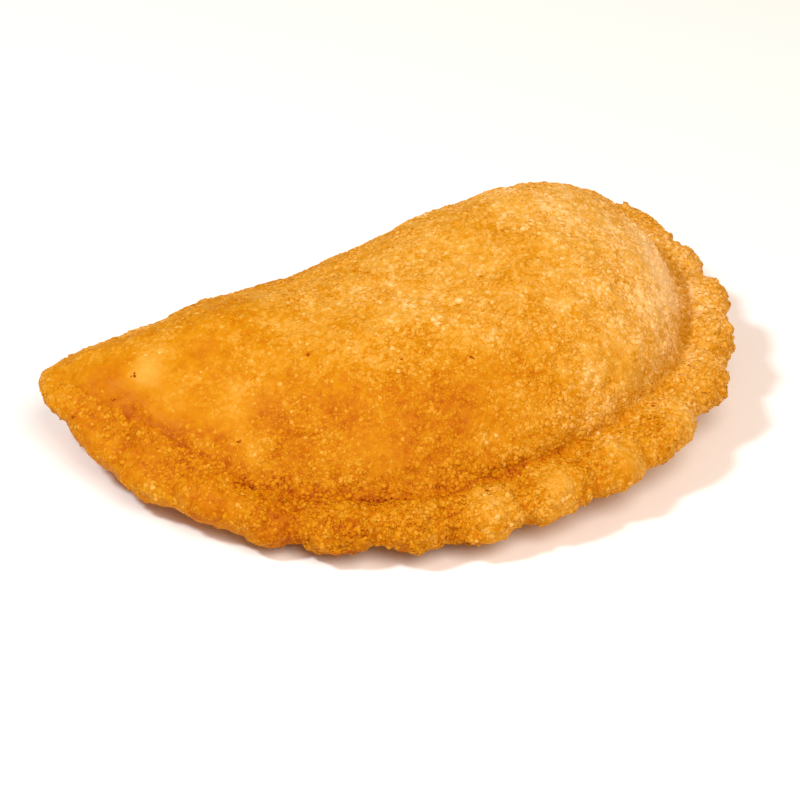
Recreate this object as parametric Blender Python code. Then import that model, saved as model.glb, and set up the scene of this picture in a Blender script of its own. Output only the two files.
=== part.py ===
"""A rissole: a half-moon of breaded, fried dough, folded over its filling and crimped shut.

X runs along the fold from tip to tip, -Y points from the fold to the crimped rim and +Z is
up.  The origin lies on the table, under the middle of the box around the food.
"""
import math

import bmesh
import bpy
import numpy as np
from mathutils import Vector, noise

NAME = "rissole"

# Plan of the rim: part of an ellipse that runs a little past the half turn, cut by the fold.
RIM_SEMI_X = 0.0500
RIM_SEMI_Y = 0.0440
FOLD_TO_CENTRE = 0.0117
RIM_SKEW = 0.0016
FOLD_BULGE = 0.0017
LEFT_TIP_BEND = 0.0023
RIGHT_TIP_BEND = -0.0006
LEFT_TIP_STRETCH = 0.0016
TIP_REACH = 0.0090
CORNER_ROUND = 0.0020
ROUNDING_PASSES = 2

# Height of the rim over the table, its thickness, and how its two ends lift.
RIM_MID_HEIGHT = 0.0066
RIM_THICKNESS = 0.0055
RIM_WIDTH = 0.0074
RIM_DROOP = 0.0006
LEFT_TIP_LIFT = 0.0028
RIGHT_TIP_DROP = 0.0009
LEFT_FOLD_LIFT = 0.0033
LEFT_FOLD_REACH = 0.0150

# Dome of filling: it rises from the crease and rolls over the fold.
DOME_HEIGHT = 0.0134
DOME_RISE = 0.0196
DOME_RISE_POWER = 1.77
DOME_RISE_ROOT = 1.66
STEEP_START_X = 0.0000
STEEP_FADE = 0.0340
FOLD_RADIUS = 0.0162
DOME_TILT = 0.17

# Crease between the rim and the dome.  It fades out on the way to the left tip.
CREASE_DEPTH = 0.0005
CREASE_HALF_WIDTH = 0.0018
CREASE_END_X = -0.0450
CREASE_FADE = 0.0160
PLAIN_RIM_WIDTH = 0.0025

# Underside: it hangs from the rim down to a flat spot, where the food rests.  The spot is cut
# at an angle to the rim, so the food leans: its right end is up.
BELLY_START = 0.0030
FLAT_INSET = 0.0125
LEAN = math.radians(3.9)

# Crimped lobes along the rim, from the left tip to the right one: width in metres, strength.
LOBES = (
    (0.0100, 0.35), (0.0090, 0.35), (0.0115, 0.55), (0.0090, 0.60),
    (0.0095, 1.05), (0.0120, 1.20), (0.0100, 1.20), (0.0115, 1.05),
    (0.0105, 0.80), (0.0110, 0.85), (0.0130, 1.00), (0.0145, 1.00),
    (0.0100, 0.80), (0.0105, 0.90), (0.0105, 0.80), (0.0105, 0.60),
)
SCALLOP_DEPTH = 0.0019
SCALLOP_MEAN = 0.55
KNOB_HEIGHT = 0.0005
KNOB_INSET = 0.0030
KNOB_REACH = 0.0028
VALLEY_DEPTH = 0.0006
VALLEY_HOLD = 0.0037
RIM_WAVE = 0.0004
RIM_WAVELENGTH = 0.0270
RIM_END_FADE = 0.0060

# Soft unevenness of the dough: height and size of the humps of each layer of noise.
UNDULATIONS = ((0.00030, 0.0130), (0.00020, 0.0055))
LAYER_GAP = 3.7

# Swellings where the filling pushes the dough out, and one sag: x and y in plan, height, reach.
SWELLINGS = (
    (0.0170, -0.0060, 0.0010, 0.0120),
    (-0.0130, -0.0060, -0.0010, 0.0130),
    (-0.0330, -0.0120, 0.0006, 0.0060),
    (-0.0230, -0.0290, 0.0005, 0.0070),
    (0.0100, -0.0400, 0.0004, 0.0080),
)

# Mesh: segments round the rim, and rings by their distance from the edge.
SEGMENTS = 176
FOLD_SEGMENTS = 38
TOP_INSETS = (
    0.0003, 0.0009, 0.0018, 0.0028, 0.0040, 0.0052, 0.0063,
    0.0073, 0.0081, 0.0091, 0.0106, 0.0128,
)
TOP_INNER_RINGS = 6
BOTTOM_INSETS = (0.0004, 0.0013, 0.0027, 0.0046, 0.0070, 0.0097, FLAT_INSET)
BOTTOM_INNER_RINGS = 1
RINGS = len(TOP_INSETS) + TOP_INNER_RINGS + len(BOTTOM_INSETS) + BOTTOM_INNER_RINGS + 2
CENTRE_Y = -0.0200
CORE_SHARE_X = 0.55
CORE_SHARE_Y = 0.15
SMOOTHING_PER_RING = 3
FLAT_ANGLE = 0.0002
FLAT_TOLERANCE = 0.00001
OUTLINE_POINTS = 720
RAY_SAMPLES = 161

CRUST_COLOUR = (0.76, 0.36, 0.045, 1.0)
CRUST_ROUGHNESS = 0.62


def rim_curve(points):
    """Points of the plan outline before its corners are rounded, anticlockwise from the right tip."""
    over = math.asin(FOLD_TO_CENTRE / RIM_SEMI_Y)
    tip_x = RIM_SEMI_X * math.cos(over)
    turn = np.linspace(0.0, math.pi, points // 3, endpoint=False)
    fold_x = tip_x * np.cos(turn)
    fold_y = FOLD_BULGE * np.sqrt(np.sin(turn))
    sweep = np.linspace(-over, math.pi + over, points, endpoint=False)
    rim_x = -RIM_SEMI_X * np.cos(sweep) + RIM_SKEW * np.sin(sweep).clip(0.0) ** 2
    rim_y = -FOLD_TO_CENTRE - RIM_SEMI_Y * np.sin(sweep)
    x = np.concatenate((fold_x, rim_x))
    y = np.concatenate((fold_y, rim_y))
    along = x / RIM_SEMI_X
    y += LEFT_TIP_BEND * np.clip(-along, 0.0, None) ** 3
    y += RIGHT_TIP_BEND * np.clip(along, 0.0, None) ** 3
    x -= LEFT_TIP_STRETCH * bell((along + 1.0) * RIM_SEMI_X / TIP_REACH) * bell(y / TIP_REACH)
    return np.column_stack((x, y))


def arc_lengths(curve):
    """Distance along a closed curve of each point from the first, and the whole length."""
    steps = np.linalg.norm(np.roll(curve, -1, axis=0) - curve, axis=1)
    return np.concatenate(([0.0], np.cumsum(steps)))


def resample(curve, places):
    """Points of a closed curve at the given distances along it."""
    lengths = arc_lengths(curve)
    closed = np.vstack((curve, curve[:1]))
    return np.column_stack([np.interp(places, lengths, closed[:, axis]) for axis in (0, 1)])


def rounded_outline():
    """The outline with rounded corners, evenly spaced, and the index of its left tip."""
    curve = rim_curve(OUTLINE_POINTS)
    total = arc_lengths(curve)[-1]
    left_tip = curve[OUTLINE_POINTS // 3]
    curve = resample(curve, np.linspace(0.0, total, OUTLINE_POINTS, endpoint=False))
    reach = int(CORNER_ROUND / (total / OUTLINE_POINTS))
    for _ in range(ROUNDING_PASSES):
        shifted = [np.roll(curve, shift, axis=0) for shift in range(-reach, reach + 1)]
        curve = np.mean(shifted, axis=0)
    left_index = int(np.argmin(np.linalg.norm(curve - left_tip, axis=1)))
    return curve, left_index


def distance_to(curve, x, y):
    """Distance in plan from each point (x, y) to an open run of points."""
    start = curve[:-1]
    step = curve[1:] - start
    dx = x[..., None] - start[:, 0]
    dy = y[..., None] - start[:, 1]
    along = (dx * step[:, 0] + dy * step[:, 1]) / (step ** 2).sum(axis=1)
    along = np.clip(along, 0.0, 1.0)
    return np.sqrt((dx - along * step[:, 0]) ** 2 + (dy - along * step[:, 1]) ** 2).min(axis=-1)


def quarter_round(distance, radius):
    """0 at the edge, upright there, and 1 beyond the radius."""
    away = 1.0 - np.clip(distance / radius, 0.0, 1.0)
    return np.sqrt(1.0 - away ** 2)


def smooth_step(value):
    value = np.clip(value, 0.0, 1.0)
    return value * value * (3.0 - 2.0 * value)


def bell(value):
    return np.exp(-value ** 2)


def lobe_shape(place):
    """For each distance along the rim, the rise of its lobe from 0 to 1, and the lobe's strength."""
    ends = np.cumsum([0.0] + [width for width, _ in LOBES])
    ends *= place.max() / ends[-1]
    index = np.clip(np.searchsorted(ends, place, side="right") - 1, 0, len(LOBES) - 1)
    widths = np.diff(ends)
    strength = np.array([value for _, value in LOBES])[index]
    rise = np.sin(math.pi * (place - ends[index]) / widths[index]).clip(0.0, 1.0)
    return rise, strength


def undulation(x, y):
    """Slow unevenness of the dough, by layers of smooth noise."""
    height = np.zeros(x.shape)
    for layer, (size, wavelength) in enumerate(UNDULATIONS):
        for index in np.ndindex(x.shape):
            point = Vector((x[index] / wavelength, y[index] / wavelength, LAYER_GAP * layer))
            height[index] += size * noise.noise(point)
    return height


def swelling(x, y):
    """Broad bumps of the filling."""
    height = np.zeros(x.shape)
    for bump_x, bump_y, size, reach in SWELLINGS:
        height += size * bell(np.hypot(x - bump_x, y - bump_y) / reach)
    return height


def evened(ring, rounds):
    """A closed ring of points, each drawn towards the middle of its neighbours a few times."""
    for _ in range(rounds):
        ring = (np.roll(ring, 1, axis=0) + 2.0 * ring + np.roll(ring, -1, axis=0)) / 4.0
    return ring


def rim_mid_height(x, y):
    """Height of the middle of the rim: it lifts to the left, most at the fold, and drops to the right."""
    left = np.clip(-x / RIM_SEMI_X, 0.0, None)
    right = np.clip(x / RIM_SEMI_X, 0.0, None)
    lift = LEFT_TIP_LIFT * left ** 3
    fold_lift = LEFT_FOLD_LIFT * left ** 2 * bell(y / LEFT_FOLD_REACH)
    return RIM_MID_HEIGHT + lift + fold_lift - RIGHT_TIP_DROP * right ** 3


def crease_share(x):
    """1 where the crease is sharp, 0 at the plain left end."""
    return smooth_step((x - CREASE_END_X) / CREASE_FADE)


class Rissole:
    """Maps the rings and segments of a sphere to the surface of the food."""

    def __init__(self):
        outline, left_index = rounded_outline()
        self.rim_run = np.vstack((outline[left_index:], outline[:1]))
        self.fold_run = outline[:left_index + 1]
        self.centre = np.array((0.0, CENTRE_Y))
        fold_places = np.linspace(0.0, left_index, FOLD_SEGMENTS, endpoint=False)
        rim_count = SEGMENTS - FOLD_SEGMENTS
        rim_places = np.linspace(left_index, OUTLINE_POINTS, rim_count, endpoint=False)
        spacing = arc_lengths(outline)[-1] / OUTLINE_POINTS
        self.edge = resample(outline, np.concatenate((fold_places, rim_places)) * spacing)
        tangent = np.roll(self.edge, -1, axis=0) - np.roll(self.edge, 1, axis=0)
        tangent /= np.linalg.norm(tangent, axis=1)[:, None]
        self.outward = np.column_stack((tangent[:, 1], -tangent[:, 0]))
        self.rim_place = np.zeros(SEGMENTS)
        self.rim_place[FOLD_SEGMENTS:] = (rim_places - left_index) * spacing
        from_end = np.minimum(self.rim_place, self.rim_place.max() - self.rim_place)
        self.on_rim = smooth_step(from_end / RIM_END_FADE)
        self.on_rim[:FOLD_SEGMENTS] = 0.0

    def rings(self, insets, inner_rings):
        """Plan position of each ring's points, from the edge to the centre, as ring x segment x 2."""
        to_core = np.linspace(0.0, 1.0, RAY_SAMPLES)
        core = self.centre + (self.edge - self.centre) * (CORE_SHARE_X, CORE_SHARE_Y)
        x = self.edge[:, :1] + to_core * (core[:, :1] - self.edge[:, :1])
        y = self.edge[:, 1:] + to_core * (core[:, 1:] - self.edge[:, 1:])
        depth = np.minimum(distance_to(self.rim_run, x, y), distance_to(self.fold_run, x, y))
        depth = np.maximum.accumulate(depth, axis=1)
        share = np.array([np.interp(insets, run, to_core) for run in depth]).T[..., None]
        outer = self.edge + share * (core - self.edge)
        for index, ring in enumerate(outer):
            outer[index] = evened(ring, index * SMOOTHING_PER_RING)
        inner = np.linspace(0.0, 1.0, inner_rings + 2)[1:-1, None, None]
        return np.concatenate((outer, outer[-1] + inner * (self.centre - outer[-1])))

    def relief(self, to_rim, to_edge):
        """Lobes of the rim: outward shift and height, for one ring of points."""
        rise, strength = lobe_shape(self.rim_place)
        fade = self.on_rim * (1.0 - smooth_step(to_rim / RIM_WIDTH))
        shift = SCALLOP_DEPTH * strength * (rise - SCALLOP_MEAN) * fade
        knob = KNOB_HEIGHT * rise ** 2 * bell((to_rim - KNOB_INSET) / KNOB_REACH)
        valley = VALLEY_DEPTH * (1.0 - rise) * (1.0 - smooth_step((to_rim - VALLEY_HOLD) / RIM_WIDTH))
        edge_fade = quarter_round(to_edge, RIM_THICKNESS / 2.0)
        return shift, self.on_rim * strength * (knob - valley) * edge_fade

    def dome(self, x, to_rim, to_fold):
        """Height of the filled part over the rim, on top."""
        width = PLAIN_RIM_WIDTH + (RIM_WIDTH - PLAIN_RIM_WIDTH) * crease_share(x)
        root = 1.0 + (DOME_RISE_ROOT - 1.0) * smooth_step((x - STEEP_START_X) / STEEP_FADE)
        share = np.clip((to_rim - width) / DOME_RISE, 0.0, 1.0)
        rise = (1.0 - (1.0 - share) ** DOME_RISE_POWER) ** (1.0 / root)
        tilt = 1.0 + DOME_TILT * x / RIM_SEMI_X
        return DOME_HEIGHT * rise * quarter_round(to_fold, FOLD_RADIUS) * tilt

    def belly(self, to_rim, to_fold):
        """How far down to the table the underside is, from 0 at the rim to 1 on the flat spot."""
        share = smooth_step((to_rim - BELLY_START) / (FLAT_INSET - BELLY_START))
        return share * quarter_round(to_fold, FLAT_INSET)

    def place_ring(self, plan, is_top):
        """Points in space of one ring, given in plan."""
        x = plan[:, 0]
        y = plan[:, 1]
        to_rim = distance_to(self.rim_run, x, y)
        to_fold = distance_to(self.fold_run, x, y)
        to_edge = np.minimum(to_rim, to_fold)
        shift, height = self.relief(to_rim, to_edge)
        half = RIM_THICKNESS / 2.0 * quarter_round(to_edge, RIM_THICKNESS / 2.0)
        outer = 1.0 - smooth_step(to_rim / RIM_WIDTH)
        wave = RIM_WAVE * np.sin(self.rim_place * math.tau / RIM_WAVELENGTH)
        middle = rim_mid_height(x, y) + (wave - RIM_DROOP) * outer
        if is_top:
            crease = CREASE_DEPTH * bell((to_rim - RIM_WIDTH) / CREASE_HALF_WIDTH) * crease_share(x)
            crease *= smooth_step(to_fold / RIM_WIDTH)
            z = middle + half + self.dome(x, to_rim, to_fold) + height - crease
            z += (undulation(x, y) + swelling(x, y)) * smooth_step(to_edge / RIM_THICKNESS)
        else:
            table = -math.tan(LEAN) * x
            z = table + (middle - half - table) * (1.0 - self.belly(to_rim, to_fold))
        moved = plan + self.outward * shift[:, None]
        return np.column_stack((moved, z))


def sphere_place(vertex):
    """Ring and segment of a vertex of the unit sphere, counted from the top and from +X."""
    ring = round(math.acos(max(-1.0, min(1.0, vertex.co.z))) / math.pi * RINGS)
    turn = math.atan2(vertex.co.y, vertex.co.x) % math.tau
    segment = round(turn / math.tau * SEGMENTS) % SEGMENTS
    return ring, segment


def leant(points):
    """Points turned about the Y axis, so that the flat spot is level and the right end is up."""
    x, y, z = points.T
    height = x * math.sin(LEAN) + z * math.cos(LEAN)
    height[np.abs(height) < FLAT_TOLERANCE] = 0.0
    return np.column_stack((x * math.cos(LEAN) - z * math.sin(LEAN), y, height))


def surface_rings():
    """Every ring of the surface from the top pole's first ring to the bottom pole's last."""
    food = Rissole()
    top = food.rings(TOP_INSETS, TOP_INNER_RINGS)[::-1]
    bottom = food.rings(BOTTOM_INSETS, BOTTOM_INNER_RINGS)
    rings = [food.place_ring(plan, True) for plan in top]
    rings.append(food.place_ring(food.edge, True))
    rings += [food.place_ring(plan, False) for plan in bottom]
    return [leant(ring) for ring in rings]


def shape_sphere(bm):
    """Move each vertex of the sphere to its place on the food."""
    rings = surface_rings()
    for vertex in bm.verts:
        ring, segment = sphere_place(vertex)
        if ring == 0:
            vertex.co = rings[0].mean(axis=0)
        elif ring == RINGS:
            vertex.co = rings[-1].mean(axis=0)
        else:
            vertex.co = rings[ring - 1][segment]


def centre_on_table(bm):
    """Put the origin on the table, under the middle of the box around the food."""
    points = np.array([vertex.co for vertex in bm.verts])
    low = points.min(axis=0)
    high = points.max(axis=0)
    shift = Vector(((low[0] + high[0]) / 2.0, (low[1] + high[1]) / 2.0, low[2]))
    bmesh.ops.translate(bm, verts=bm.verts, vec=-shift)


def crust_material():
    material = bpy.data.materials.new("crust")
    material.use_nodes = True
    shader = material.node_tree.nodes["Principled BSDF"]
    shader.inputs["Base Color"].default_value = CRUST_COLOUR
    shader.inputs["Roughness"].default_value = CRUST_ROUGHNESS
    shader.inputs["Metallic"].default_value = 0.0
    return material


def make_rissole(collection):
    bm = bmesh.new()
    bmesh.ops.create_uvsphere(bm, u_segments=SEGMENTS, v_segments=RINGS, radius=1.0)
    shape_sphere(bm)
    centre_on_table(bm)
    flat_edges = [edge for edge in bm.edges if all(vertex.co.z == 0.0 for vertex in edge.verts)]
    bmesh.ops.dissolve_limit(bm, angle_limit=FLAT_ANGLE, verts=bm.verts, edges=flat_edges)
    mesh = bpy.data.meshes.new(NAME)
    bm.to_mesh(mesh)
    bm.free()
    mesh.shade_smooth()
    mesh.materials.append(crust_material())
    collection.objects.link(bpy.data.objects.new(NAME, mesh))


def main():
    for item in list(bpy.data.objects):
        bpy.data.objects.remove(item)
    collection = bpy.data.collections.new(NAME)
    bpy.context.scene.collection.children.link(collection)
    make_rissole(collection)


main()
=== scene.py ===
"""Looks of the rissole: a half-moon of breaded dough, fried golden, on a pale floor.

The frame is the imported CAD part.  A finer crust stands for its solid, and grains of breadcrumb
are strewn over that crust as real meshes.  X runs along the fold, -Y points to the crimped rim
and +Z is up.  All lengths are in metres.
"""
import math

import bmesh
import bpy
import numpy as np
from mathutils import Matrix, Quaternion, Vector, noise


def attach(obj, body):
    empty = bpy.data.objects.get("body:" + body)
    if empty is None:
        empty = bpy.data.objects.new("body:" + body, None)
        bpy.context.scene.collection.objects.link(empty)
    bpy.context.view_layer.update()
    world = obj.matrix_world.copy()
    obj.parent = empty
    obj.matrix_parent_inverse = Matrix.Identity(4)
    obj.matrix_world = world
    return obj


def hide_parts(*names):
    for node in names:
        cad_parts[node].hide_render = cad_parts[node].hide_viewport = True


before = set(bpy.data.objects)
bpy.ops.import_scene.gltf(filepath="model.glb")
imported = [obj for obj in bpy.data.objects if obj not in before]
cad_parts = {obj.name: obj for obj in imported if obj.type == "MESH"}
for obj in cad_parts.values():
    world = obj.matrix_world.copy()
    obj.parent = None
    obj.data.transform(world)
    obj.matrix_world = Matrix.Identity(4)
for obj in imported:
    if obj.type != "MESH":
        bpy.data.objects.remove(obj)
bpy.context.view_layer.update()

NODE = "rissole"
BODY = "root"
SEED = 615

# Camera, at the photograph's viewing angle.
CAMERA_TARGET = Vector((-0.00594, 0.00244, 0.00688))
CAMERA_AZIMUTH = -34.18
CAMERA_ELEVATION = 34.89
CAMERA_ROLL = 3.42
CAMERA_DISTANCE = 0.5112
CAMERA_LENS = 164.6
CAMERA_SENSOR = 36.0
CAMERA_CLIP_START = 0.01
CAMERA_CLIP_END = 20.0

# Lights: azimuth, elevation, distance, width, watts, colour.  Below them the even glow from all
# round, and the floor, which lies a hair under the object.
LIGHTS = {
    "key": (-99.0, 53.0, 0.60, 0.10, 2.15, (0.94, 1.00, 1.03)),
    "fill": (-6.0, 54.0, 0.70, 0.55, 4.0, (1.0, 0.90, 0.82)),
}
WORLD_COLOUR = (1.0, 0.73, 0.58)
WORLD_STRENGTH = 0.42
FLOOR_RADIUS = 4.0
FLOOR_SEGMENTS = 96
FLOOR_DROP = 0.00002
FLOOR_COLOUR = (0.94, 0.94, 0.94)
FLOOR_ROUGHNESS = 0.85
FLOOR_SPECULAR = 0.1

# Crust mesh: voxel size, height up to which it rests on the floor, passes that ease its facets,
# passes that find what stands proud, and how deep or proud counts in full.
VOXEL = 0.00041
RESTING_HEIGHT = 0.00002
EASE_PASSES = 12
BROAD_PASSES = 122
HOLLOW_DEPTH = 0.00060

# Relief of the crust: lattice size, height, and how far it follows the crumb cover.  Rounded
# clumps of crumb come on top of it.  All of it fades out in a band just above the floor.
RELIEF = (
    (0.0046, 0.00030, 0.3),
    (0.0021, 0.00028, 0.5),
    (0.0011, 0.00022, 0.9),
)
CLUMP_SIZE = 0.0016
CLUMP_HEIGHT = 0.00024
RESTING_BAND = 0.0014

# Browning and crumb cover, both from 0 to 1: everywhere, in hollows and where it stands proud.
# The browner crust in hollows is painted shade, and the paler crust where it stands proud is
# painted light.
PLAIN_TOAST = 0.42
PLAIN_COVER = 0.66
HOLLOW_PAINTED_SHADE = 0.10
PROUD_PAINTED_LIGHT = -0.06
HOLLOW_COVER = 0.35

# Random mottles: lattice size, swing of browning, swing of cover.
MOTTLES = ((0.0130, 0.10, 0.25), (0.0045, 0.11, 0.25), (0.0021, 0.05, 0.25))

# How far each use of the noise is moved, so that none repeats another.
NOISE_SHIFT = (1.0, 0.7, 1.3)
TOAST_OFFSET = 5.0
COVER_OFFSET = 9.0
RELIEF_OFFSET = 20.0

# Round zones: x, y, reach, and what each adds to browning and to cover.
# Some zones paint light and shade into the browning, as the notes in the table say.
ZONES = (
    # Paler over the dome's top: partly the crust's own paler colour, partly painted sheen.
    (0.0240, 0.0080, 0.0210, -0.22, 0.10),
    (-0.0080, 0.0070, 0.0120, -0.10, 0.10),
    # Right end: paler zones are painted light, browner ones painted shade in the crease.
    (0.0360, 0.0000, 0.0075, -0.26, 0.00),
    (0.0405, 0.0090, 0.0045, -0.18, 0.00),
    (0.0445, 0.0010, 0.0040, 0.12, 0.10),
    (0.0385, -0.0085, 0.0035, 0.12, 0.10),
    (0.0350, -0.0130, 0.0035, -0.08, 0.00),
    (0.0290, -0.0090, 0.0055, -0.14, 0.10),
    # Browning and cover in the middle, at the front and on the left.
    (0.0010, -0.0070, 0.0045, -0.06, 0.00),
    (0.0130, -0.0140, 0.0060, -0.09, 0.00),
    (-0.0085, -0.0130, 0.0050, 0.22, -0.20),
    (-0.0155, -0.0115, 0.0048, 0.19, -0.15),
    (0.0040, -0.0150, 0.0042, 0.18, 0.05),
    (0.0170, -0.0135, 0.0030, 0.10, 0.00),
    (-0.0245, -0.0070, 0.0050, 0.14, 0.00),
    (-0.0305, -0.0030, 0.0055, 0.22, 0.00),
    (-0.0340, 0.0060, 0.0120, 0.08, -0.30),
    (-0.0440, 0.0050, 0.0050, 0.14, -0.25),
    (-0.0410, -0.0030, 0.0060, 0.12, -0.30),
    (-0.0360, -0.0140, 0.0055, 0.24, -0.35),
    (-0.0475, 0.0165, 0.0090, 0.19, -0.45),
    # Front-left rim near its lower edge: browner, painted shade for its shaded side faces.
    (-0.0430, -0.0065, 0.0040, 0.10, -0.20),
    (-0.0345, -0.0190, 0.0042, 0.20, -0.20),
    # Browning and cover along the front rim.
    (-0.0260, -0.0210, 0.0052, 0.26, 0.00),
    (-0.0200, -0.0240, 0.0038, 0.18, 0.10),
    (-0.0140, -0.0255, 0.0036, 0.22, 0.10),
    # Paler patches with thinner cover near the left end.
    (-0.0397, 0.0149, 0.0030, -0.24, -0.30),
    (-0.0395, 0.0080, 0.0034, -0.12, -0.20),
    (-0.0328, 0.0022, 0.0028, -0.20, -0.30),
    (-0.0326, -0.0035, 0.0022, -0.24, -0.20),
    # Front rim: paler with thinner cover on the lobes, browner between them.
    (-0.0093, -0.0262, 0.0024, -0.12, -0.40),
    (-0.0040, -0.0265, 0.0026, 0.14, 0.10),
    (0.0012, -0.0265, 0.0027, -0.14, -0.60),
    (0.0070, -0.0260, 0.0024, 0.14, 0.10),
    (0.0121, -0.0258, 0.0026, -0.16, -0.55),
    (0.0195, -0.0240, 0.0030, 0.24, 0.10),
    (0.0250, -0.0226, 0.0030, -0.18, -0.40),
    # A paler patch on the left of the dome.
    (-0.0215, 0.0095, 0.0045, -0.08, 0.00),
)

# Crease between dome and rim: points as x, y and browning, from left to right.  The browning
# is painted shade in the crease where it is above 0, and painted light over the crease's shade
# on the right, where it is below 0.  It is cut a little into the crust where that faces up, and
# crumbs stay in it and on the rim outside it.  Along the cut the crust is browner still, which is
# a painted shade line.
CREASE = (
    (-0.0440, 0.0120, 0.00), (-0.0405, 0.0030, 0.00), (-0.0350, -0.0060, 0.04),
    (-0.0285, -0.0125, 0.12), (-0.0230, -0.0155, 0.22), (-0.0170, -0.0190, 0.22),
    (-0.0110, -0.0203, 0.18), (-0.0050, -0.0208, 0.12), (0.0010, -0.0212, 0.12),
    (0.0070, -0.0212, -0.02), (0.0135, -0.0205, -0.06), (0.0215, -0.0190, -0.08),
    (0.0280, -0.0150, -0.06), (0.0345, -0.0090, -0.08), (0.0393, -0.0028, -0.08),
    (0.0420, 0.0013, -0.08), (0.0440, 0.0060, -0.10), (0.0452, 0.0120, -0.04),
    (0.0450, 0.0180, 0.02),
)
CREASE_REACH = 0.0021
CREASE_COVER = 0.35
CREASE_CUT = 0.00034
CREASE_CUT_REACH = 0.0007
CUT_PAINTED_SHADE = 0.09
CREASE_UPRIGHT = 0.5
RIM_START = 0.0015
RIM_COVER = 0.30
RIM_CRAGS = 0.9

# Colours of the crust from pale to dark, in linear light.
TOAST_COLOURS = (
    (0.00, (0.87, 0.56, 0.230)),
    (0.20, (0.69, 0.352, 0.050)),
    (0.42, (0.57, 0.228, 0.003)),
    (0.62, (0.48, 0.142, 0.001)),
    (0.82, (0.34, 0.065, 0.001)),
    (1.00, (0.13, 0.018, 0.001)),
)

# Grains packed side by side in the material: size, swing of browning from grain to grain,
# browning of the gaps, height.  Soft patches and fine grit come with them, and all of it shows
# less where the cover is thin.
PACKED_GRAINS = (
    (0.00055, 0.24, 0.12, 0.00008),
    (0.00110, 0.16, 0.06, 0.00010),
)
PATCH_SIZE = 0.0016
PATCH_SWING = 0.26
GRIT_SIZE = 0.00025
GRIT_HEIGHT = 0.00003
NOISE_DETAIL = 2.0
THIN_COVER_SHARE = 0.25
BUMP_DISTANCE = 1.0

# Sheen of the crust, rougher with crumb cover, and the light that goes a little way into it.
PLAIN_ROUGHNESS = 0.38
COVER_ROUGHNESS = 0.25
SPECULAR = 0.05
SUBSURFACE_WEIGHT = 0.25
SUBSURFACE_RADIUS = (1.0, 0.40, 0.08)
SUBSURFACE_SCALE = 0.0010

# Grains of breadcrumb.  Each kind: count, smallest, largest, lift, flatness, browning shift,
# browning spread, how much it keeps to thick cover, and the solid it is cut from.
CRUMBS = {
    "crumbs_pale": (22000, 0.00030, 0.00058, 0.04, 0.42, -0.12, 0.04, 1.6, "fine"),
    "crumbs_golden": (24000, 0.00032, 0.00066, 0.02, 0.42, -0.06, 0.04, 1.2, "fine"),
    "crumbs_toasted": (7000, 0.00032, 0.00060, 0.00, 0.40, 0.05, 0.04, 1.2, "fine"),
    "crumbs_coarse": (8500, 0.00050, 0.00088, 0.02, 0.45, -0.12, 0.06, 3.0, "coarse"),
}

# Shape of a grain: how unevenly its corners stand out, and its stretch along each axis.
GRAIN_JITTER = 0.24
GRAIN_STRETCH = (0.75, 1.15)

# Power that makes small grains the commoner ones, how far a grain lies beside the vertex that
# carries it, the middle browning, how far grains follow the crust's own from there, how deep they
# sink where the cover is thin, and the cover that their material is given.
SIZE_POWER = 1.8
GRAIN_ASIDE = 0.5 * VOXEL
GRAIN_TOAST = 0.42
GRAIN_FOLLOWS = 0.75
GRAIN_SINK = 0.18
GRAIN_COVER = 0.3

# Where grains lie: a few even without cover, fewer where the crust faces down, and none next to
# the floor.
LEAST_WEIGHT = 0.05
UNDERSIDE_UPRIGHT = -0.2
UNDERSIDE_SHARE = 0.45
LOWEST_CRUMB = 0.0005

# Places of burnt specks and of the palest flakes, as x and y on the top side.
SPECKS = (
    (-0.0448, 0.0148), (-0.0414, 0.0154), (-0.0492, 0.0174), (-0.0425, -0.0003),
    (-0.0339, -0.0005), (-0.0214, 0.0022), (-0.0110, -0.0048), (-0.0025, -0.0093),
    (-0.0116, -0.0070), (0.0213, -0.0197), (0.0159, -0.0198), (-0.0259, -0.0207),
)
FLAKES = ((0.0010, 0.0000), (-0.0039, -0.0021), (0.0282, -0.0122))

# Pieces of such marks: size, browning, places.
MARKS = {
    "specks_dark": (0.00045, 0.82, SPECKS),
    "flakes_pale": (0.0010, 0.04, FLAKES),
}

# A mark is a little group of grains: how many, the least and most of the size, how far they lie
# aside as a share of it, swing of browning, flatness, and how far up the crust has to face.
MARK_GRAINS = 4
MARK_SIZES = (0.5, 1.1)
MARK_ASIDE = 0.4
MARK_SPREAD = 0.04
MARK_FLATNESS = 0.5
MARK_UPRIGHT = 0.1


def direction(azimuth, elevation):
    """Unit vector from the object towards a camera or light; azimuth 0 is in front, at -Y."""
    a = math.radians(azimuth)
    e = math.radians(elevation)
    return Vector((math.sin(a) * math.cos(e), -math.cos(a) * math.cos(e), math.sin(e)))


def put(name, data, target, azimuth, elevation, distance):
    """A camera or light that looks at the target from the given side."""
    thing = bpy.data.objects.new(name, data)
    bpy.context.scene.collection.objects.link(thing)
    back = direction(azimuth, elevation)
    thing.location = target + back * distance
    thing.rotation_mode = "QUATERNION"
    thing.rotation_quaternion = (-back).to_track_quat("-Z", "Y")
    return thing


def make_camera():
    """The scene's camera."""
    data = bpy.data.cameras.new("camera")
    data.lens = CAMERA_LENS
    data.sensor_width = CAMERA_SENSOR
    data.clip_start = CAMERA_CLIP_START
    data.clip_end = CAMERA_CLIP_END
    place = (CAMERA_TARGET, CAMERA_AZIMUTH, CAMERA_ELEVATION, CAMERA_DISTANCE)
    camera = put("camera", data, *place)
    camera.rotation_quaternion @= Quaternion((0.0, 0.0, 1.0), math.radians(CAMERA_ROLL))
    bpy.context.scene.camera = camera


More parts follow.
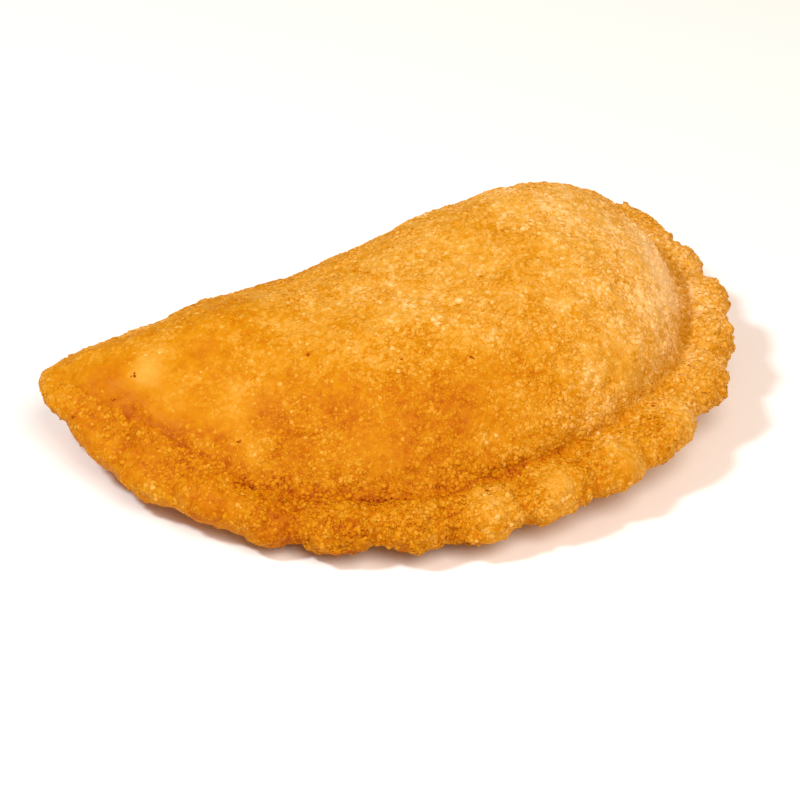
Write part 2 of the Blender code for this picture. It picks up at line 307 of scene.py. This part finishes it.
def make_lights():
    """Soft studio lights and an even glow from all round."""
    for name, (azimuth, elevation, distance, width, watts, colour) in LIGHTS.items():
        data = bpy.data.lights.new(name, "AREA")
        data.shape = "DISK"
        data.size = width
        data.energy = watts
        data.color = colour
        put(name, data, CAMERA_TARGET, azimuth, elevation, distance)
    world = bpy.data.worlds.new("glow")
    world.use_nodes = True
    background = world.node_tree.nodes["Background"]
    background.inputs["Color"].default_value = (*WORLD_COLOUR, 1.0)
    background.inputs["Strength"].default_value = WORLD_STRENGTH
    bpy.context.scene.world = world


def make_floor():
    """A wide pale floor."""
    mesh = bpy.data.meshes.new("floor")
    disc = bmesh.new()
    bmesh.ops.create_circle(disc, cap_ends=True, radius=FLOOR_RADIUS, segments=FLOOR_SEGMENTS)
    disc.to_mesh(mesh)
    disc.free()
    floor = bpy.data.objects.new("floor", mesh)
    floor.location.z = -FLOOR_DROP
    bpy.context.scene.collection.objects.link(floor)
    material = bpy.data.materials.new("floor")
    material.use_nodes = True
    shader = material.node_tree.nodes["Principled BSDF"]
    shader.inputs["Base Color"].default_value = (*FLOOR_COLOUR, 1.0)
    shader.inputs["Roughness"].default_value = FLOOR_ROUGHNESS
    shader.inputs["Specular IOR Level"].default_value = FLOOR_SPECULAR
    mesh.materials.append(material)


def bell(distance):
    """1 at distance 0, and nearly 0 from distance 2 on."""
    return np.exp(-distance ** 2)


def smooth_step(share):
    """From 0 to 1 with soft ends."""
    share = np.clip(share, 0.0, 1.0)
    return share * share * (3.0 - 2.0 * share)


def noise_at(points, lattice, offset):
    """Soft noise from about -1 to 1 at each point."""
    shift = Vector([offset * part for part in NOISE_SHIFT])
    return np.array([noise.noise(Vector(p) + shift) for p in points / lattice])


def clumps_at(points, lattice):
    """Rounded clumps: 0.5 at the middle of each one, lower between them."""
    nearest = [noise.voronoi(Vector(p))[0][0] for p in points / lattice]
    return 0.5 - np.array(nearest)


class Surface:
    """The vertices of a mesh, with their normals and neighbours, as arrays."""

    def __init__(self, mesh):
        self.mesh = mesh
        self.points = np.empty(len(mesh.vertices) * 3)
        mesh.vertices.foreach_get("co", self.points)
        self.points = self.points.reshape(-1, 3)
        edges = np.empty(len(mesh.edges) * 2, dtype=np.int64)
        mesh.edges.foreach_get("vertices", edges)
        self.ends = edges.reshape(-1, 2)
        self.degree = np.bincount(self.ends.ravel(), minlength=len(self.points))

    def neighbour_mean(self, values):
        """Mean of the neighbours' values at each vertex."""
        near, far = self.ends.T
        total = np.bincount(near, values[far], len(values))
        total += np.bincount(far, values[near], len(values))
        return total / self.degree

    def smoothed(self, values, passes):
        """Values after some passes of averaging along the surface."""
        for _ in range(passes):
            values = 0.5 * (values + self.neighbour_mean(values))
        return values

    def smoothed_points(self, passes):
        """Points after some passes of averaging along the surface."""
        return np.column_stack([self.smoothed(axis, passes) for axis in self.points.T])

    def normals(self):
        """Normals of the mesh as it stands now."""
        self.mesh.vertices.foreach_set("co", self.points.ravel())
        self.mesh.update()
        found = np.empty(len(self.points) * 3)
        self.mesh.vertex_normals.foreach_get("vector", found)
        return found.reshape(-1, 3)


def fine_mesh(node):
    """The solid's mesh with even, much smaller faces."""
    source = bpy.data.objects.new("crust_source", node.data.copy())
    bpy.context.scene.collection.objects.link(source)
    remesh = source.modifiers.new("voxels", "REMESH")
    remesh.mode = "VOXEL"
    remesh.voxel_size = VOXEL
    shown = source.evaluated_get(bpy.context.evaluated_depsgraph_get())
    mesh = bpy.data.meshes.new_from_object(shown)
    mesh.name = "crust"
    mesh.materials.clear()
    bpy.data.objects.remove(source)
    return mesh


def beside_crease(surface, normals):
    """Per vertex: painted light and shade by the crease, and shares of crease, narrow cut and rim.
    """
    nearest = np.full(len(surface.points), np.inf)
    outside = np.zeros(len(surface.points))
    crease_light_and_shade = np.zeros(len(surface.points))
    plan = surface.points[:, :2]
    for start, end in zip(np.array(CREASE[:-1]), np.array(CREASE[1:])):
        along = (end - start)[:2]
        share = ((plan - start[:2]) @ along / (along @ along)).clip(0.0, 1.0)
        offset = plan - start[:2] - share[:, None] * along
        distance = np.hypot(*offset.T)
        side = along[1] * offset[:, 0] - along[0] * offset[:, 1]
        closer = distance < nearest
        nearest[closer] = distance[closer]
        outside[closer] = (np.sign(side) * distance)[closer]
        crease_light_and_shade[closer] = (start[2] + share * (end - start)[2])[closer]
    top = smooth_step(normals[:, 2] / CREASE_UPRIGHT)
    crease = bell(nearest / CREASE_REACH) * top
    cut = bell(nearest / CREASE_CUT_REACH) * top
    # The narrow cut adds painted shade to the crease's painted light and shade.
    crease_light_and_shade = crease_light_and_shade * crease + CUT_PAINTED_SHADE * cut
    return crease_light_and_shade, crease, cut, smooth_step(outside / RIM_START)


def zone_sums(points):
    """What the zones add at each point: browning with painted light and shade, and cover."""
    toast = np.zeros(len(points))
    cover = np.zeros(len(points))
    for x, y, reach, browning_and_painted_light, thicker in ZONES:
        share = bell(np.hypot(points[:, 0] - x, points[:, 1] - y) / reach)
        toast += browning_and_painted_light * share
        cover += thicker * share
    return toast, cover


def toast_and_cover(surface, normals, crease_light_and_shade, crease, rim):
    """Browning with painted light and shade, and how thick the crumbs lie on it, from 0 to 1."""
    broad = surface.smoothed_points(BROAD_PASSES)
    proud = ((surface.points - broad) * normals).sum(axis=1) / HOLLOW_DEPTH
    hollow = smooth_step(-proud)
    toast, cover = zone_sums(surface.points)
    # Painted shade in hollows, painted light where it stands proud, then the crease's light and
    # shade.
    toast += PLAIN_TOAST + HOLLOW_PAINTED_SHADE * hollow + PROUD_PAINTED_LIGHT * smooth_step(proud)
    toast += crease_light_and_shade
    cover += PLAIN_COVER + HOLLOW_COVER * hollow + CREASE_COVER * crease + RIM_COVER * rim
    for index, (lattice, toast_swing, cover_swing) in enumerate(MOTTLES):
        toast += toast_swing * noise_at(surface.points, lattice, TOAST_OFFSET + index)
        cover += cover_swing * noise_at(surface.points, lattice, COVER_OFFSET + index)
    return np.clip(toast, 0.0, 1.0), np.clip(cover, 0.0, 1.0)


def relief(points, cover, rim):
    """Height of dough and crumb relief at each point, craggier on the rim."""
    height = CLUMP_HEIGHT * cover * clumps_at(points, CLUMP_SIZE)
    for index, (lattice, swing, follows) in enumerate(RELIEF):
        share = 1.0 - follows + follows * cover
        height += swing * share * noise_at(points, lattice, RELIEF_OFFSET + index)
    return height * (1.0 + RIM_CRAGS * rim * cover)


def set_attribute(mesh, name, values):
    """Stores one number for each vertex."""
    attribute = mesh.attributes.new(name, "FLOAT", "POINT")
    attribute.data.foreach_set("value", np.asarray(values, dtype=np.float32))


def make_crust(node):
    """Makes the crust; gives surface, normals, browning with painted light and shade, and cover.
    """
    mesh = fine_mesh(node)
    surface = Surface(mesh)
    resting = surface.points[:, 2] < RESTING_HEIGHT
    eased = surface.smoothed_points(EASE_PASSES)
    eased[resting, 2] = 0.0
    surface.points = eased
    normals = surface.normals()
    crease_light_and_shade, crease, cut, rim = beside_crease(surface, normals)
    toast, cover = toast_and_cover(surface, normals, crease_light_and_shade, crease, rim)
    rises = smooth_step(surface.points[:, 2] / RESTING_BAND)
    height = (relief(surface.points, cover, rim) - CREASE_CUT * cut) * rises
    surface.points = surface.points + normals * height[:, None]
    surface.points[:, 2] = surface.points[:, 2].clip(0.0)
    normals = surface.normals()
    # The stored browning holds the painted light and shade as well.
    set_attribute(mesh, "toast", toast)
    set_attribute(mesh, "cover", cover)
    mesh.shade_smooth()
    crust = add_piece("crust", mesh, solid=True)
    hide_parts(NODE)
    return surface, normals, toast, cover


def add_piece(name, mesh, solid=False):
    """A piece of the object that rides on its body."""
    piece = bpy.data.objects.new(name, mesh)
    bpy.context.scene.collection.objects.link(piece)
    mesh.materials.append(crust_material(name, solid))
    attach(piece, BODY)
    return piece


def grain_shape(kind):
    """Corners and triangles of a plain grain with radius 1."""
    if kind == "fine":
        corners = np.vstack((np.eye(3), -np.eye(3)))
        faces = [(a, b, c) for a in (0, 3) for b in (1, 4) for c in (2, 5)]
        # Every second triangle is turned round, so that all of them face outwards.
        faces = [f if sum(i > 2 for i in f) % 2 == 0 else f[::-1] for f in faces]
        return corners, np.array(faces)
    shape = bmesh.new()
    bmesh.ops.create_icosphere(shape, subdivisions=1, radius=1.0)
    corners = np.array([v.co[:] for v in shape.verts])
    faces = np.array([[v.index for v in f.verts] for f in shape.faces])
    shape.free()
    return corners, faces


def random_turns(count, rng):
    """Random rotation matrices."""
    turns, _ = np.linalg.qr(rng.normal(size=(count, 3, 3)))
    turns *= np.sign(np.linalg.det(turns))[:, None, None]
    return turns


def strew(name, kind, centres, normals, sizes, flatness, toast, rng):
    """Adds one piece of many grains, each bent, turned, flattened and sized on its own."""
    corners, faces = grain_shape(kind)
    count = len(centres)
    bends = rng.uniform(1 - GRAIN_JITTER, 1 + GRAIN_JITTER, (count, len(corners), 1))
    stretches = rng.uniform(*GRAIN_STRETCH, (count, 1, 3))
    grains = corners[None] * bends * stretches
    grains = np.einsum("nij,nkj->nki", random_turns(count, rng), grains)
    along = np.einsum("nki,ni->nk", grains, normals)
    grains -= (1 - flatness) * along[..., None] * normals[:, None]
    grains = centres[:, None] + grains * (0.5 * sizes)[:, None, None]
    starts = (np.arange(count) * len(corners))[:, None, None]
    mesh = bpy.data.meshes.new(name)
    mesh.from_pydata(grains.reshape(-1, 3), [], (faces[None] + starts).reshape(-1, 3))
    set_attribute(mesh, "toast", np.repeat(toast, len(corners)))
    set_attribute(mesh, "cover", np.full(count * len(corners), GRAIN_COVER))
    add_piece(name, mesh)


def shift_along(normals, scale, rng):
    """Random shifts that stay in the surface, so that no grain hovers over it."""
    shift = rng.normal(scale=scale, size=normals.shape)
    return shift - (shift * normals).sum(axis=1, keepdims=True) * normals


def pick_places(surface, normals, cover, count, crowding, rng):
    """Vertices that carry a grain: more where the cover is thick, fewer underneath."""
    weight = LEAST_WEIGHT + cover ** crowding
    weight *= np.where(normals[:, 2] < UNDERSIDE_UPRIGHT, UNDERSIDE_SHARE, 1.0)
    weight *= surface.points[:, 2] > LOWEST_CRUMB
    return rng.choice(len(cover), count, p=weight / weight.sum())


def make_crumbs(surface, normals, toast, cover):
    """Adds all kinds of breadcrumb grains, and then the marks."""
    rng = np.random.default_rng(SEED)
    for name, row in CRUMBS.items():
        count, small, large, lift, flatness, shift, spread, crowding, kind = row
        places = pick_places(surface, normals, cover, count, crowding, rng)
        sizes = small + (large - small) * rng.random(count) ** SIZE_POWER
        aside = shift_along(normals[places], GRAIN_ASIDE, rng)
        rise = (lift - GRAIN_SINK * (1.0 - cover[places])) * sizes
        centres = surface.points[places] + aside + normals[places] * rise[:, None]
        # Grains take on part of the crust's browning, and with it part of its painted light and
        # shade.
        browning = GRAIN_TOAST + GRAIN_FOLLOWS * (toast[places] - GRAIN_TOAST)
        browning += shift + spread * rng.normal(size=count)
        strew(name, kind, centres, normals[places], sizes, flatness, browning, rng)
    for name, (size, browning, spots) in MARKS.items():
        make_marks(name, size, browning, spots, surface, normals, rng)


def make_marks(name, size, browning, spots, surface, normals, rng):
    """Adds one piece of grains in little groups, at given places of the top side."""
    upward = np.flatnonzero(normals[:, 2] > MARK_UPRIGHT)
    plan = surface.points[upward, :2]
    found = [upward[np.hypot(*(plan - spot).T).argmin()] for spot in spots]
    found = np.repeat(found, MARK_GRAINS)
    sizes = size * rng.uniform(*MARK_SIZES, len(found))
    centres = surface.points[found] + shift_along(normals[found], MARK_ASIDE * size, rng)
    toast = browning + rng.normal(scale=MARK_SPREAD, size=len(found))
    strew(name, "coarse", centres, normals[found], sizes, MARK_FLATNESS, toast, rng)


class Shader:
    """Short ways to add and join the nodes of one material."""

    def __init__(self, name):
        self.material = bpy.data.materials.new(name)
        self.material.use_nodes = True
        self.nodes = self.material.node_tree.nodes
        self.principled = self.nodes["Principled BSDF"]
        self.place = self.nodes.new("ShaderNodeTexCoord").outputs["Object"]

    def join(self, value, socket):
        """Links an output to an input, or sets the input to a plain number."""
        if isinstance(value, (int, float)):
            socket.default_value = value
        else:
            self.material.node_tree.links.new(value, socket)

    def maths(self, operation, *values):
        """The output of a Math node."""
        node = self.nodes.new("ShaderNodeMath")
        node.operation = operation
        for value, socket in zip(values, node.inputs):
            self.join(value, socket)
        return node.outputs["Value"]

    def attribute(self, name):
        """A number stored on the mesh."""
        node = self.nodes.new("ShaderNodeAttribute")
        node.attribute_name = name
        return node.outputs["Fac"]

    def noise(self, size):
        """Soft noise from 0 to 1 with features of about this size."""
        node = self.nodes.new("ShaderNodeTexNoise")
        node.inputs["Scale"].default_value = 1.0 / size
        node.inputs["Detail"].default_value = NOISE_DETAIL
        self.join(self.place, node.inputs["Vector"])
        return node.outputs["Fac"]

    def grains(self, size):
        """Packed grains of this size: how far from a grain's middle, and a tone for each grain."""
        node = self.nodes.new("ShaderNodeTexVoronoi")
        node.inputs["Scale"].default_value = 1.0 / size
        self.join(self.place, node.inputs["Vector"])
        tone = self.nodes.new("ShaderNodeSeparateColor")
        self.join(node.outputs["Color"], tone.inputs["Color"])
        return node.outputs["Distance"], tone.outputs["Red"]

    def ramp(self, value, stops):
        """Colour of a value by a table of positions and colours."""
        node = self.nodes.new("ShaderNodeValToRGB")
        elements = node.color_ramp.elements
        # A new ramp has two stops already.
        for index, (position, colour) in enumerate(stops):
            element = elements[index] if index < 2 else elements.new(position)
            element.position = position
            element.color = (*colour, 1.0)
        self.join(value, node.inputs["Fac"])
        return node.outputs["Color"]


def crust_material(name, solid):
    """Fried crumb: packed grains, each with its own browning, and a faint sheen.

    Only the solid crust has a bump and lets light in; the strewn grains are too small for both.
    """
    shader = Shader(name)
    cover = shader.attribute("cover")
    cover = shader.maths("MULTIPLY_ADD", cover, 1.0 - THIN_COVER_SHARE, THIN_COVER_SHARE)
    speckle = shader.maths("MULTIPLY", shader.noise(PATCH_SIZE), PATCH_SWING)
    height = shader.maths("MULTIPLY", shader.noise(GRIT_SIZE), GRIT_HEIGHT)
    for size, swing, gap, rise in PACKED_GRAINS:
        middle, tone = shader.grains(size)
        speckle = shader.maths("MULTIPLY_ADD", tone, swing, speckle)
        speckle = shader.maths("MULTIPLY_ADD", middle, gap, speckle)
        height = shader.maths("MULTIPLY_ADD", middle, -rise, height)
    middles = (0.5 * swing + 0.5 * gap for _, swing, gap, _ in PACKED_GRAINS)
    speckle = shader.maths("SUBTRACT", speckle, 0.5 * PATCH_SWING + sum(middles))
    # The stored browning picks the colour, and so paints the light and shade that it carries.
    toast = shader.maths("MULTIPLY_ADD", speckle, cover, shader.attribute("toast"))
    shader.join(shader.ramp(toast, TOAST_COLOURS), shader.principled.inputs["Base Color"])
    roughness = shader.maths("MULTIPLY_ADD", cover, COVER_ROUGHNESS, PLAIN_ROUGHNESS)
    shader.join(roughness, shader.principled.inputs["Roughness"])
    if solid:
        bump = shader.nodes.new("ShaderNodeBump")
        bump.inputs["Distance"].default_value = BUMP_DISTANCE
        shader.join(shader.maths("MULTIPLY", height, cover), bump.inputs["Height"])
        shader.join(bump.outputs["Normal"], shader.principled.inputs["Normal"])
        shader.principled.inputs["Subsurface Weight"].default_value = SUBSURFACE_WEIGHT
        shader.principled.inputs["Subsurface Radius"].default_value = SUBSURFACE_RADIUS
        shader.principled.inputs["Subsurface Scale"].default_value = SUBSURFACE_SCALE
    shader.principled.inputs["Specular IOR Level"].default_value = SPECULAR
    return shader.material


bpy.context.scene.view_settings.view_transform = "Standard"
make_camera()
make_lights()
make_floor()
make_crumbs(*make_crust(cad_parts[NODE]))
